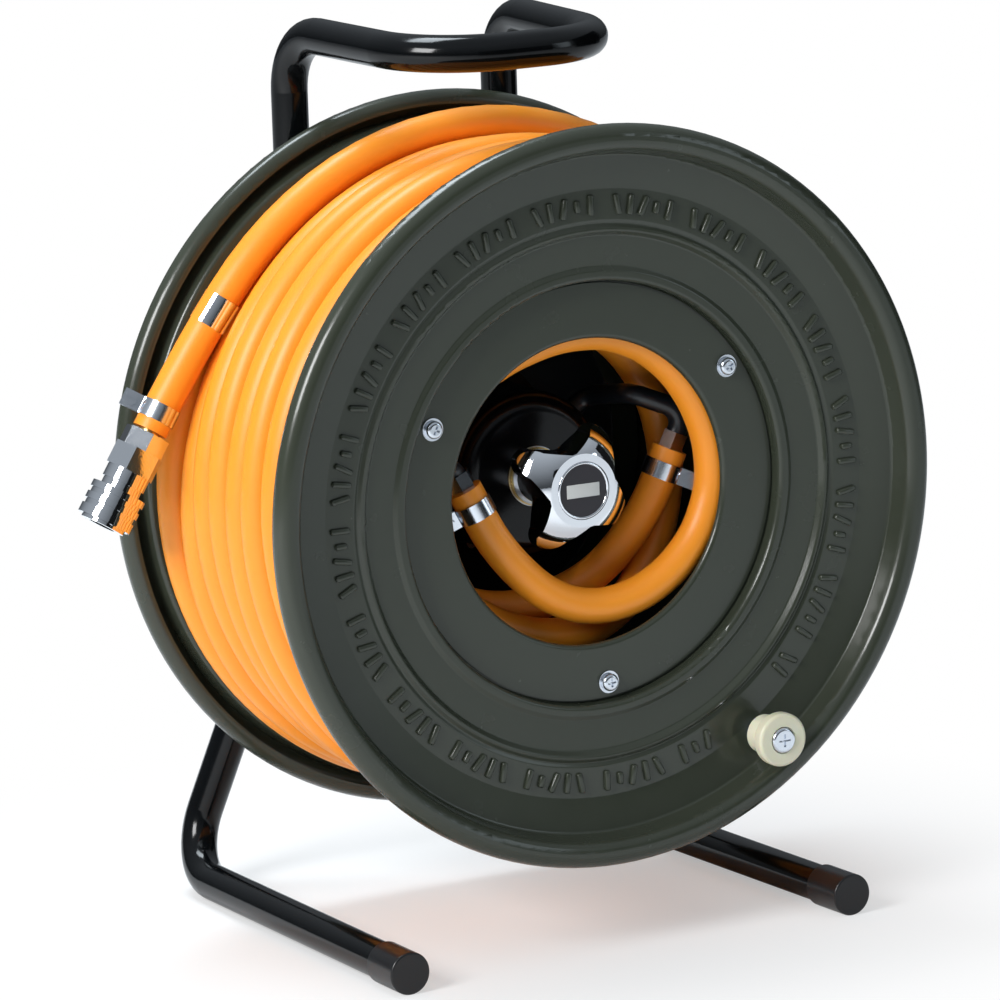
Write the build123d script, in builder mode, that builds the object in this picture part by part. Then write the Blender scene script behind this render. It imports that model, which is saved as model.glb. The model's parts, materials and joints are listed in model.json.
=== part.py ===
from build123d import *
import os
from math import cos, pi, radians, sin, tan

os.makedirs("parts", exist_ok=True)

# =====================================================================
# Hose reel on a bent-tube stand.  Millimetres, +Z up.
# The drum turns about an axle along Y; its open face looks towards -Y.
# The origin is on the floor, under the middle of the reel.
# =====================================================================

# ---- Hose -------------------------------------------------------------
hose_radius = 8.25
hose_bore_radius = 4.75
running_gap = 0.05          # radial, between a shaft and its bush
free_gap = 0.3              # between pieces that only pass each other

# ---- Drum sheet work ---------------------------------------------------
sheet = 1.2                 # flanges and barrel
recess_radius = 97.5        # wall of the cover's recess
drum_span = 158.0           # between the middles of the two rolled rims
rim_roll = 5.65             # radius of the rolled rim
cover_sheet = 1.6
cover_depth = 17.0          # cover face behind the rim's middle plane
hub_opening_radius = 70.5
cover_margin = 1.5          # cover edge to the wall of its recess
cover_lip = 2.5             # turned edge round the hub opening
seat_lip = 14.0             # flat ring under the cover's edge
barrel_margin = 1.2         # barrel end to the web

# Radial widths of the pressed rings, from the recess outwards
shoulder_width = 4.6
groove_width = 2.2
flat_width = 14.0
bead_rise = 2.7
bead_fall = 2.7
band_edge = 1.8
band_width = 14.2
dish_width = 16.0
rim_wall_width = 3.0

# Depths of the same rings behind the rim's middle plane
shoulder_depth = 10.8
groove_depth = 11.9
flat_depth = 11.0
bead_depth = 7.9
bead_foot_depth = 10.0
band_depth = 9.2
dish_depth = 6.2

# ---- Hub and axle --------------------------------------------------------
axle_radius = 8.0
axle_bore_radius = 3.0
axle_thread_radius = 6.0
axle_shoulder_radius = 14.0
axle_shoulder_length = 6.0
axle_tip_depth = 30.0       # axle's front end behind the rim's middle plane
thread_length = 26.0
housing_radius = 38.8
housing_depth = 67.0        # housing face behind the rim's middle plane
housing_wall = 2.5
housing_round = 9.0
housing_foot_width = 9.0
housing_screws = 3
hub_plate_sheet = 2.0
sleeve_wall = 3.0
bush_wall = 3.0
bush_length = 14.0
bush_flange = 1.5
bush_flange_width = 2.5
rotary_radius = 18.0
rotary_inset = 9.0          # rotary joint behind the housing's face
rotary_length = 30.0
chamber_radius = 11.0
chamber_length = 10.0
port_radius = 2.0
seal_section = 1.4
spring_washer_sheet = 1.2
spring_washer_radius = 13.0

# ---- Brake knob ----------------------------------------------------------
knob_face_depth = 22.5      # badge face behind the rim's middle plane
knob_lobe_reach = 31.0
knob_lobe_radius = 6.5
knob_lobe_depth = 36.0      # middle of the lobes
knob_lobe_thickness = 9.0
knob_core_radius = 17.5
knob_shank_radius = 12.0
knob_phase = 58.0
knob_lobes = 4
badge_radius = 13.5
badge_height = 1.2
badge_sink = 0.5
knob_face_radius = 17.0
insert_flats = 16.0
insert_length = 24.0

# ---- Cover and hub plate screws -------------------------------------------
cover_screws = 3
cover_screw_phase = 34.3
cover_screw_radius = 89.0
screw_radius = 2.5
screw_length = 12.0
screw_head_radius = 4.1
screw_head_height = 2.8
washer_radius = 5.2
washer_height = 1.0
nut_flats = 8.0
nut_height = 4.0
slot_width = 1.0
slot_depth = 1.3

# ---- Crank knob -------------------------------------------------------------
crank_angle = -56.4
crank_circle = 145.0
crank_boss_radius = 6.0
crank_boss_depth = 2.4      # boss face behind the rim's middle plane
crank_reach = 15.0          # knob face ahead of the rim's middle plane
crank_knob_radius = 12.5
crank_neck_radius = 7.4
crank_spindle_radius = 3.0
crank_head_radius = 6.0
crank_head_height = 3.2
crank_head_sink = 2.0       # how far the head sits in the knob's face
crank_nut_flats = 10.0
crank_nut_height = 2.6

# ---- Stand ------------------------------------------------------------------
tube_radius = 8.65
tube_wall = 1.6
cap_wall = 1.15
cap_length = 24.0
cap_end = 2.5
floor_gap = 39.9            # rim above the floor
hand_gap = 29.8             # handle corner above the rim
arm_drop = 2.0              # handle is lower in front
leg_half_width = 56.1
handle_half_width = 49.4
foot_half_width = 116.7
heel_half_width = 112.2
foot_reach = 13.3           # foot ends ahead of the rim's middle plane
leg_gap = 26.5              # legs behind the rear rim
heel_reach = 31.3           # heels behind the legs
handle_depth = 64.0         # handle bar behind the front rim's middle plane
knee_drop = 30.6            # knees below the axle
heel_bend = 26.5
knee_bend = 60.0
top_bend = 28.0
handle_bend = 42.0
bracket_sheet = 3.2
bracket_height = 64.0
saddle_height = 46.0
saddle_drop = 14.0          # saddle's foot below the axle
bracket_washer_radius = 15.0
bracket_washer_sheet = 2.0
axle_nut_flats = 22.0
axle_nut_height = 8.0

# ---- Inlet plug -----------------------------------------------------------
plug_seat_radius = 5.0
plug_seat_length = 9.0
plug_hex_flats = 15.0
plug_hex_length = 8.0
plug_radius = 5.9
plug_groove = 1.0
plug_length = 22.0
plug_bore_radius = 2.4

# ---- Hub hose, its clamps and pipes ----------------------------------------
pipe_radius = 4.7           # fits the hose's bore
pipe_bore_radius = 3.0
pipe_grip = 18.0            # pipe inside the hose's end
pipe_bend = 9.0
collar_flats = 11.0
collar_length = 8.0
wall_pipe_depth = 31.0      # where the wall pipe passes the barrel, behind the rim
wall_pipe_rise = 14.0       # and above the axle
wall_pipe_inset = 2.0       # its end inside the barrel's face
wall_pipe_lead = 13.0       # straight pipe outside the hose
port_pipe_lead = 18.5
port_pipe_reach = 52.0      # where the delivery pipe turns down to the rotary joint
port_angle = 35.0           # where it leaves the rotary joint
wall_boss_radius = 8.5
wall_boss_length = 6.0
clamp_sheet = 0.8
clamp_width = 8.0
clamp_ear = 9.0
clamp_gap = 2.4             # between the two ears
clamp_screw_radius = 1.8
clamp_head_radius = 3.1
clamp_head_height = 2.2
clamp_nut_flats = 5.5
clamp_nut_height = 2.2
clamp_inset = 10.5          # clamp's middle from the hose's end

# ---- Wound hose --------------------------------------------------------------
pile_layers = 3             # full layers; a fourth has only begun
pile_rows = 8
row_rises = [2.0, 4.0, 8.0, 7.0, 7.0, 5.0, -1.0, 6.5]  # top turns above a neat layer
pile_margin = 0.3           # pile to the barrel
pile_end_margin = 1.8       # pile to the web
layer_pitch = 16.4
tail_plane = 118.0          # last strand behind the front rim
tail_radius = 158.0         # middle of the last strand
tail_start = 24.0           # angle where the last strand becomes the tail
tail_back = 84.0            # degrees of the last strand in the pile's solid
tail_leave = 145.0          # angle where it leaves the pile
tail_steps = 5              # corners of its route on the pile
tail_straight = 34.0        # straight run off the pile
tail_drift = 6.0            # back along the axle in that run
tail_turn = 2.5             # degrees that the end droops
tail_run = 37.0             # straight run into the coupler
clip_inset = 0.5            # clip's start after the hose leaves the pile
clip_length = 14.5
clip_wall = 0.8
clip_open = 6.0             # half width of the clip's slot
clip_turn = 67.0            # slot's middle, round the hose from the side in view

# ---- Coupler -------------------------------------------------------------------
coupler_nut_flats = 19.0
coupler_nut_length = 8.6
coupler_hex_flats = 21.0
coupler_hex_length = 11.0
coupler_neck_radius = 10.3
coupler_neck_length = 6.2
coupler_groove_radius = 9.4
coupler_groove_length = 3.6
sleeve_radius = 13.0
sleeve_length = 15.8
sleeve_clearance = 0.05
sleeve_travel = 3.0
socket_bore_radius = 6.2
socket_depth = 11.0
valve_bore_radius = 5.4      # narrower bore that holds the valve
valve_bore_depth = 9.0
valve_height = 5.0
valve_travel = 3.0
ball_radius = 1.5
ball_inset = 5.0            # balls behind the socket's mouth
coupler_balls = 6
ring_width = 1.6            # retaining ring at the socket's mouth
ring_height = 1.2

# =====================================================================
# Worked-out places
# =====================================================================

barrel_radius = recess_radius + 2 * sheet
ring_widths = [
    shoulder_width, groove_width, flat_width, bead_rise, bead_fall,
    band_edge, band_width, dish_width, rim_wall_width,
]
ring_depths = [
    shoulder_depth, groove_depth, flat_depth, bead_depth, bead_foot_depth,
    band_depth, band_depth, dish_depth,
]
ring_bends = [2.2, 1.6, 1.0, 1.0, 1.6, 0.8, 1.6, 3.0, 1.6]
flange_radius = recess_radius + sum(ring_widths) + 2 * rim_roll
axle_height = floor_gap + flange_radius
seat_depth = cover_depth + cover_sheet
leg_depth = drum_span + rim_roll + leg_gap
hex_ratio = 1 / cos(radians(30))      # a hexagon's corners over its flats


def stand_route(rim_plane):
    """Centreline corners of the stand tube, from one foot over the handle to the other."""
    heel_plane = rim_plane + leg_depth + heel_reach
    leg_plane = rim_plane + leg_depth
    top = axle_height + flange_radius + hand_gap
    left = [
        (-foot_half_width, rim_plane - foot_reach + cap_end, tube_radius + cap_wall),
        (-heel_half_width, heel_plane, tube_radius),
        (-leg_half_width, leg_plane, axle_height - knee_drop),
        (-leg_half_width, leg_plane, top),
        (-handle_half_width, rim_plane + handle_depth, top - arm_drop),
    ]
    right = [(-x, y, z) for x, y, z in reversed(left)]
    return left + right


stand_bends = [heel_bend, knee_bend, top_bend, handle_bend]
stand_bends = stand_bends + stand_bends[::-1]

with BuildLine() as reach_line:
    FilletPolyline(*stand_route(0), radius=stand_bends)
reach_back = reach_line.line.bounding_box().max.Y + tube_radius
reach_front = crank_reach + crank_head_height - crank_head_sink
rim_y = (reach_front - reach_back) / 2
leg_y = rim_y + leg_depth

axle_axis = Axis((0, 0, axle_height), (0, 1, 0))
# Local x runs along the axle and local y is the radius
drum_section = Plane(origin=(0, 0, axle_height), x_dir=(0, 1, 0), z_dir=(1, 0, 0))


def across(depth, angle=0.0):
    """A plane across the axle, its local x to the right, turned by angle, and its normal forwards."""
    right = Vector(cos(radians(angle)), 0, sin(radians(angle)))
    return Plane(origin=(0, rim_y + depth, axle_height), x_dir=right, z_dir=(0, -1, 0))


def around(radius, angle):
    """A point on a circle about the axle, in the axes of across()."""
    return (radius * cos(radians(angle)), radius * sin(radians(angle)))


def spot(x, depth, z):
    """A point given from the axle and the front rim's middle plane."""
    return Vector(x, rim_y + depth, axle_height + z)


def profile(points):
    """Points of depth and radius, in the axes of drum_section."""
    return [(rim_y + depth, radius) for depth, radius in points]


def sheet_outline(points, bends, thickness):
    """Outline of a bent sheet: one face passes through the points, the other lies to its right."""
    steps = [(Vector(*b) - Vector(*a)).normalized() for a, b in zip(points, points[1:])]
    sides = [Vector(step.Y, -step.X) for step in steps]
    other = [Vector(*points[0]) + sides[0] * thickness]
    other_bends = []
    for corner, before, after, bend in zip(points[1:], sides, sides[1:], bends):
        mitre = (before + after) * (thickness / (1 + before.dot(after)))
        other.append(Vector(*corner) + mitre)
        leftward = before.X * after.Y - before.Y * after.X > 0
        other_bends.append(bend + thickness if leftward else bend - thickness)
    other.append(Vector(*points[-1]) + sides[-1] * thickness)
    face_line = FilletPolyline(*points, radius=bends)
    back_line = FilletPolyline(*other, radius=other_bends)
    Line(face_line @ 0, back_line @ 0)
    Line(face_line @ 1, back_line @ 1)


def save(piece, name):
    """Label a finished piece and write it."""
    piece.part.label = name
    export_step(piece.part, "parts/" + name + ".step")


# =====================================================================
# Stand
# =====================================================================

with BuildPart() as frame_tube:
    with BuildLine() as frame_line:
        FilletPolyline(*stand_route(rim_y), radius=stand_bends)
    with BuildSketch(Plane(origin=frame_line.line @ 0, z_dir=frame_line.line % 0)):
        Circle(tube_radius)
        Circle(tube_radius - tube_wall, mode=Mode.SUBTRACT)
    sweep(path=frame_line.line)
save(frame_tube, "frame_tube")

foot_start = Vector(*stand_route(rim_y)[0])
foot_end = Vector(*stand_route(rim_y)[1])
foot_step = (foot_end - foot_start).normalized()
for side, name in ((1, "foot_cap_left"), (-1, "foot_cap_right")):
    cap_start = Vector(side * foot_start.X, foot_start.Y, foot_start.Z)
    cap_step = Vector(side * foot_step.X, foot_step.Y, foot_step.Z)
    cap_plane = Plane(origin=cap_start - cap_step * cap_end, z_dir=cap_step)
    with BuildPart() as foot_cap:
        with BuildSketch(cap_plane):
            Circle(tube_radius + cap_wall)
        extrude(amount=cap_end)
        with BuildSketch(cap_plane.offset(cap_end)):
            Circle(tube_radius + cap_wall)
            Circle(tube_radius, mode=Mode.SUBTRACT)
        extrude(amount=cap_length - cap_end)
        fillet(foot_cap.edges().filter_by(GeomType.CIRCLE).group_by(Axis.Y)[0], cap_wall - 0.15)
    save(foot_cap, name)

# Cross bracket: a flat web in front of the legs, with a saddle round the front of each
bracket_depth = leg_depth - tube_radius - bracket_sheet
with BuildPart() as axle_bracket:
    with BuildSketch(across(bracket_depth)):
        Rectangle(2 * leg_half_width, bracket_height)
        Circle(axle_radius + free_gap, mode=Mode.SUBTRACT)
    extrude(amount=-bracket_sheet)
    with BuildSketch(Plane.XY.offset(axle_height - saddle_drop)):
        with Locations((-leg_half_width, leg_y), (leg_half_width, leg_y)):
            Circle(tube_radius + bracket_sheet)
        with Locations((0, leg_y + tube_radius + bracket_sheet)):
            Rectangle(
                2 * (leg_half_width + tube_radius + 2 * bracket_sheet),
                2 * (tube_radius + bracket_sheet),
                mode=Mode.SUBTRACT,
            )
        with Locations((-leg_half_width, leg_y), (leg_half_width, leg_y)):
            Circle(tube_radius, mode=Mode.SUBTRACT)
    extrude(amount=saddle_height)
save(axle_bracket, "axle_bracket")

# Fixed axle: front thread, journal, shoulder, then the part that passes the bracket
axle_shoulder_depth = bracket_depth - axle_shoulder_length
axle_tail_depth = bracket_depth + bracket_sheet + bracket_washer_sheet + axle_nut_height + 2.0
rotary_start = housing_depth + rotary_inset
chamber_depth = rotary_start + rotary_length / 2
thread_end = axle_tip_depth + thread_length
with BuildPart() as axle:
    with BuildSketch(drum_section):
        with BuildLine():
            Polyline(
                *profile([
                    (axle_tip_depth, 0),
                    (axle_tip_depth, axle_thread_radius),
                    (thread_end, axle_thread_radius),
                    (thread_end, axle_radius),
                    (axle_shoulder_depth, axle_radius),
                    (axle_shoulder_depth, axle_shoulder_radius),
                    (bracket_depth, axle_shoulder_radius),
                    (bracket_depth, axle_radius),
                    (axle_tail_depth, axle_radius),
                    (axle_tail_depth, plug_seat_radius),
                    (axle_tail_depth - plug_seat_length, plug_seat_radius),
                    (axle_tail_depth - plug_seat_length, axle_bore_radius),
                    (chamber_depth - 2 * port_radius, axle_bore_radius),
                    (chamber_depth - 2 * port_radius, 0),
                ]),
                close=True,
            )
        make_face()
    revolve(axis=axle_axis)
    with BuildSketch(Plane.YZ):
        with Locations((rim_y + chamber_depth, axle_height)):
            Circle(port_radius)
    extrude(amount=axle_radius + 1, both=True, mode=Mode.SUBTRACT)
save(axle, "axle")

with BuildPart() as axle_washer:
    with BuildSketch(across(bracket_depth + bracket_sheet)):
        Circle(bracket_washer_radius)
        Circle(axle_radius, mode=Mode.SUBTRACT)
    extrude(amount=-bracket_washer_sheet)
save(axle_washer, "axle_washer")

with BuildPart() as axle_nut:
    with BuildSketch(across(bracket_depth + bracket_sheet + bracket_washer_sheet)):
        RegularPolygon(axle_nut_flats / 2 * hex_ratio, 6)
        Circle(axle_radius, mode=Mode.SUBTRACT)
    extrude(amount=-axle_nut_height)
save(axle_nut, "axle_nut")

# Male plug that takes the supply hose's coupler
plug_base = axle_tail_depth + plug_hex_length
with BuildPart() as inlet_plug:
    with BuildSketch(drum_section):
        with BuildLine():
            Polyline(
                *profile([
                    (axle_tail_depth - plug_seat_length, 0),
                    (axle_tail_depth - plug_seat_length, plug_seat_radius),
                    (plug_base, plug_seat_radius),
                    (plug_base, plug_radius),
                    (plug_base + plug_length * 0.45, plug_radius),
                    (plug_base + plug_length * 0.5, plug_radius - plug_groove),
                    (plug_base + plug_length * 0.65, plug_radius - plug_groove),
                    (plug_base + plug_length * 0.7, plug_radius),
                    (plug_base + plug_length * 0.85, plug_radius),
                    (plug_base + plug_length, plug_radius - plug_groove),
                    (plug_base + plug_length, 0),
                ]),
                close=True,
            )
        make_face()
    revolve(axis=axle_axis)
    with BuildSketch(across(axle_tail_depth)):
        RegularPolygon(plug_hex_flats / 2 * hex_ratio, 6)
    extrude(amount=-plug_hex_length)
    with BuildSketch(across(axle_tail_depth - plug_seat_length)):
        Circle(plug_bore_radius)
    extrude(amount=-(plug_seat_length + plug_hex_length + plug_length), mode=Mode.SUBTRACT)
save(inlet_plug, "inlet_plug")
# =====================================================================
# Drum
# =====================================================================

ring_radii = [recess_radius]
for width in ring_widths:
    ring_radii.append(ring_radii[-1] + width)
rim_points = [
    (-rim_roll, flange_radius - 2 * rim_roll),
    (-rim_roll, flange_radius),
    (rim_roll, flange_radius),
    (rim_roll, flange_radius - 1.15 * rim_roll),
]
rim_bends = [rim_roll - 0.45, rim_roll - 0.05, rim_roll - 0.15]
front_points = [(seat_depth, recess_radius - seat_lip), (seat_depth, recess_radius)]
front_points += [(shoulder_depth, recess_radius)]
front_points += list(zip(ring_depths, ring_radii[1:]))
front_points += rim_points
front_bends = [1.0, 2.2] + ring_bends[1:] + rim_bends
rear_points = [(drum_span - depth, radius) for depth, radius in reversed(front_points)]
rear_bends = front_bends[::-1]
screw_angles = [cover_screw_phase + n * 360 / cover_screws for n in range(cover_screws)]

for name, points, bends, face in (
    ("front_flange", front_points, front_bends, seat_depth),
    ("rear_flange", rear_points, rear_bends, drum_span - seat_depth - sheet),
):
    with BuildPart() as flange:
        with BuildSketch(drum_section):
            with BuildLine():
                sheet_outline(profile(points), bends, sheet)
            make_face()
        revolve(axis=axle_axis)
        with BuildSketch(across(face - sheet, cover_screw_phase)):
            with PolarLocations(cover_screw_radius, cover_screws):
                Circle(screw_radius + free_gap)
        extrude(amount=-3 * sheet, mode=Mode.SUBTRACT)
        if name == "front_flange":
            with BuildSketch(across(0)):
                with Locations(around(crank_circle, crank_angle)):
                    Circle(crank_spindle_radius)
            extrude(amount=-2 * groove_depth, mode=Mode.SUBTRACT)
    save(flange, name)

barrel_start = shoulder_depth + sheet + barrel_margin
barrel_end = drum_span - barrel_start
with BuildPart() as drum_barrel:
    with BuildSketch(across(barrel_start)):
        Circle(barrel_radius)
        Circle(barrel_radius - sheet, mode=Mode.SUBTRACT)
    extrude(amount=-(barrel_end - barrel_start))
    with BuildSketch(Plane.YZ):
        with Locations((rim_y + wall_pipe_depth, axle_height + wall_pipe_rise)):
            Circle(pipe_radius)
    extrude(amount=-2 * barrel_radius, mode=Mode.SUBTRACT)
save(drum_barrel, "drum_barrel")

# Cover ring in the front recess
cover_points = [
    (cover_depth + cover_lip, hub_opening_radius),
    (cover_depth, hub_opening_radius),
    (cover_depth, recess_radius - cover_margin),
]
with BuildPart() as cover_ring:
    with BuildSketch(drum_section):
        with BuildLine():
            sheet_outline(profile(cover_points), [cover_sheet + 0.6], cover_sheet)
        make_face()
    revolve(axis=axle_axis)
    with BuildSketch(across(cover_depth - cover_sheet, cover_screw_phase)):
        with PolarLocations(cover_screw_radius, cover_screws):
            Circle(screw_radius + free_gap)
    extrude(amount=-3 * cover_sheet, mode=Mode.SUBTRACT)
save(cover_ring, "cover_ring")

# Hub plate closes the drum behind and carries the hub
hub_plate_depth = drum_span - seat_depth
bush_outer = axle_radius + running_gap + bush_wall
sleeve_outer = bush_outer + sleeve_wall
housing_screw_radius = housing_radius + housing_foot_width / 2
with BuildPart() as hub_plate:
    with BuildSketch(across(hub_plate_depth, cover_screw_phase)):
        Circle(recess_radius - cover_margin)
        Circle(sleeve_outer, mode=Mode.SUBTRACT)
        with PolarLocations(cover_screw_radius, cover_screws):
            Circle(screw_radius + free_gap, mode=Mode.SUBTRACT)
        with PolarLocations(housing_screw_radius, housing_screws):
            Circle(screw_radius, mode=Mode.SUBTRACT)
    extrude(amount=-hub_plate_sheet)
save(hub_plate, "hub_plate")

# Hub sleeve: carries the bushes and the rotary joint's chamber
sleeve_end = axle_shoulder_depth - running_gap - bush_flange
port_seat = sleeve_outer
with BuildPart() as hub_sleeve:
    with BuildSketch(across(housing_depth)):
        Circle(sleeve_outer)
    extrude(amount=-(sleeve_end - housing_depth))
    with BuildSketch(across(rotary_start)):
        Circle(rotary_radius)
    extrude(amount=-rotary_length)
    with BuildSketch(across(housing_depth)):
        Circle(bush_outer)
    extrude(amount=-(sleeve_end - housing_depth), mode=Mode.SUBTRACT)
    port_axis = Vector(cos(radians(port_angle)), 0, sin(radians(port_angle)))
    port_plane = Plane(origin=spot(0, chamber_depth, 0), z_dir=port_axis)
    with BuildSketch(port_plane):
        Circle(pipe_bore_radius)
    extrude(amount=2 * rotary_radius, mode=Mode.SUBTRACT)
    with BuildSketch(port_plane.offset(port_seat)):
        Circle(pipe_radius)
    extrude(amount=rotary_radius, mode=Mode.SUBTRACT)
save(hub_sleeve, "hub_sleeve")

# Plain bushes, flanged outwards at each end of the sleeve
for name, face, inward in (("front_bush", housing_depth, -1), ("rear_bush", sleeve_end, 1)):
    with BuildPart() as bush:
        with BuildSketch(across(face)):
            Circle(bush_outer)
            Circle(axle_radius + running_gap, mode=Mode.SUBTRACT)
        extrude(amount=inward * bush_length)
        with BuildSketch(across(face)):
            Circle(bush_outer + bush_flange_width)
            Circle(axle_radius + running_gap, mode=Mode.SUBTRACT)
        extrude(amount=-inward * bush_flange)
    save(bush, name)

with BuildPart() as shaft_seals:
    for face in (chamber_depth - chamber_length / 2, chamber_depth + chamber_length / 2 + 2 * seal_section):
        with BuildSketch(across(face)):
            Circle(bush_outer)
            Circle(axle_radius + running_gap, mode=Mode.SUBTRACT)
        extrude(amount=2 * seal_section)
save(shaft_seals, "shaft_seals")

# Housing: a deep cup over the rotary joint, open behind, screwed to the hub plate
with BuildPart() as hub_housing:
    with BuildSketch(drum_section):
        with BuildLine():
            sheet_outline(
                profile([
                    (housing_depth, sleeve_outer),
                    (housing_depth, housing_radius),
                    (hub_plate_depth - housing_wall, housing_radius),
                    (hub_plate_depth - housing_wall, housing_radius + housing_foot_width),
                ]),
                [housing_round, housing_wall + 1.0],
                housing_wall,
            )
        make_face()
    revolve(axis=axle_axis)
    with BuildSketch(across(hub_plate_depth - 2 * housing_wall, cover_screw_phase)):
        with PolarLocations(housing_screw_radius, housing_screws):
            Circle(screw_radius)
    extrude(amount=-3 * housing_wall, mode=Mode.SUBTRACT)
    with BuildSketch(port_plane.offset(rotary_radius)):
        Circle(pipe_radius)
    extrude(amount=2 * housing_radius, mode=Mode.SUBTRACT)
save(hub_housing, "hub_housing")

# Cover screws in front and hub plate screws behind, each with a washer and a nut
stacks = (
    ("cover", cover_depth, -1, seat_depth + sheet),
    ("hub_plate", hub_plate_depth + hub_plate_sheet, 1, hub_plate_depth - sheet),
)
for name, face, outward, nut_face in stacks:
    head_face = face + outward * washer_height
    with BuildPart() as washers:
        with BuildSketch(across(face, cover_screw_phase)):
            with PolarLocations(cover_screw_radius, cover_screws):
                Circle(washer_radius)
                Circle(screw_radius, mode=Mode.SUBTRACT)
        extrude(amount=-outward * washer_height)
    save(washers, name + "_washers")
    with BuildPart() as screws:
        with BuildSketch(across(head_face, cover_screw_phase)):
            with PolarLocations(cover_screw_radius, cover_screws):
                Circle(screw_head_radius)
        extrude(amount=-outward * screw_head_height)
        fillet(screws.edges().group_by(Axis.Y)[0 if outward < 0 else -1], screw_head_height * 0.6)
        with BuildSketch(across(head_face, cover_screw_phase)):
            with PolarLocations(cover_screw_radius, cover_screws):
                Circle(screw_radius)
        extrude(amount=outward * screw_length)
        with BuildSketch(across(head_face + outward * screw_head_height, cover_screw_phase)):
            with PolarLocations(cover_screw_radius, cover_screws):
                Rectangle(screw_head_radius, slot_width)
                Rectangle(slot_width, screw_head_radius)
        extrude(amount=outward * slot_depth, mode=Mode.SUBTRACT)
    save(screws, name + "_screws")
    with BuildPart() as nuts:
        with BuildSketch(across(nut_face, cover_screw_phase)):
            with PolarLocations(cover_screw_radius, cover_screws):
                RegularPolygon(nut_flats / 2 * hex_ratio, 6)
                Circle(screw_radius, mode=Mode.SUBTRACT)
        extrude(amount=outward * nut_height)
    save(nuts, name + "_nuts")

with BuildPart() as housing_screw_set:
    housing_head_face = hub_plate_depth + hub_plate_sheet
    with BuildSketch(across(housing_head_face, cover_screw_phase)):
        with PolarLocations(housing_screw_radius, housing_screws):
            Circle(screw_head_radius)
    extrude(amount=-screw_head_height)
    fillet(housing_screw_set.edges().group_by(Axis.Y)[-1], screw_head_height * 0.6)
    with BuildSketch(across(housing_head_face, cover_screw_phase)):
        with PolarLocations(housing_screw_radius, housing_screws):
            Circle(screw_radius)
    extrude(amount=hub_plate_sheet + housing_wall + 1.0)
save(housing_screw_set, "housing_screws")

# =====================================================================
# Crank knob on its spindle
# =====================================================================


def crank_plane(depth):
    """A plane across the crank spindle, its normal forwards."""
    x, z = around(crank_circle, crank_angle)
    return Plane(origin=spot(x, depth, z), x_dir=(1, 0, 0), z_dir=(0, -1, 0))


crank_face = -crank_reach
crank_seat = crank_face + crank_head_sink
crank_nut_face = band_depth + sheet
with BuildPart() as crank_spacer:
    with BuildSketch(crank_plane(crank_boss_depth)):
        Circle(crank_boss_radius)
        Circle(crank_spindle_radius, mode=Mode.SUBTRACT)
    extrude(amount=-(band_depth + 1 - crank_boss_depth))
    with BuildSketch(drum_section):
        with BuildLine():
            Polyline(
                *profile([
                    (band_depth - running_gap, ring_radii[-4]),
                    (band_depth - running_gap, ring_radii[-3]),
                    (dish_depth - running_gap, ring_radii[-2]),
                    (band_depth + dish_depth, ring_radii[-2]),
                    (band_depth + dish_depth, ring_radii[-4]),
                ]),
                close=True,
            )
        make_face()
    revolve(axis=axle_axis, mode=Mode.SUBTRACT)
save(crank_spacer, "crank_spacer")

with BuildPart() as crank_spindle:
    with BuildSketch(crank_plane(crank_seat)):
        Circle(crank_head_radius)
    extrude(amount=crank_head_height)
    fillet(crank_spindle.edges().group_by(Axis.Y)[0], crank_head_height * 0.45)
    with BuildSketch(crank_plane(crank_seat)):
        Circle(crank_spindle_radius)
    extrude(amount=-(crank_nut_face + crank_nut_height + 0.4 - crank_seat))
    with BuildSketch(crank_plane(crank_seat - crank_head_height)):
        Rectangle(crank_head_radius, slot_width)
        Rectangle(slot_width, crank_head_radius)
    extrude(amount=-slot_depth, mode=Mode.SUBTRACT)
save(crank_spindle, "crank_spindle")

with BuildPart() as crank_nut:
    with BuildSketch(crank_plane(crank_nut_face)):
        RegularPolygon(crank_nut_flats / 2 * hex_ratio, 6)
        Circle(crank_spindle_radius, mode=Mode.SUBTRACT)
    extrude(amount=-crank_nut_height)
save(crank_nut, "crank_nut")

knob_length = crank_boss_depth - running_gap - crank_face
crank_section = Plane(
    origin=crank_plane(crank_face).origin, x_dir=(0, 1, 0), z_dir=(1, 0, 0)
)
crank_axis = Axis(crank_section.origin, (0, 1, 0))
with BuildPart() as crank_knob:
    with BuildSketch(crank_section):
        with BuildLine():
            Polyline(
                (crank_head_sink, crank_spindle_radius + running_gap),
                (crank_head_sink, crank_head_radius + free_gap),
                (0, crank_head_radius + free_gap),
                (0, crank_knob_radius),
                (knob_length * 0.28, crank_knob_radius),
            )
            Spline(
                (knob_length * 0.28, crank_knob_radius),
                (knob_length * 0.6, crank_neck_radius),
                (knob_length, crank_neck_radius + 1.6),
                tangents=((1, -0.35), (1, 0.1)),
            )
            Polyline(
                (knob_length, crank_neck_radius + 1.6),
                (knob_length, crank_spindle_radius + running_gap),
                (crank_head_sink, crank_spindle_radius + running_gap),
            )
        make_face()
    revolve(axis=crank_axis)
    fillet(crank_knob.edges().filter_by(GeomType.CIRCLE).sort_by(SortBy.RADIUS)[-2:], 1.6)
save(crank_knob, "crank_knob")

# =====================================================================
# Brake knob on the axle's front end
# =====================================================================

spring_washer_depth = housing_depth - bush_flange - running_gap
shank_end = spring_washer_depth - spring_washer_sheet
lobe_end = knob_lobe_depth + knob_lobe_thickness / 2
lobe_middle = knob_lobe_reach - knob_lobe_radius
insert_start = thread_end - running_gap - insert_length
with BuildPart() as spring_washer:
    with BuildSketch(across(spring_washer_depth)):
        Circle(spring_washer_radius)
        Circle(axle_radius + free_gap, mode=Mode.SUBTRACT)
    extrude(amount=spring_washer_sheet)
save(spring_washer, "spring_washer")

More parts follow.
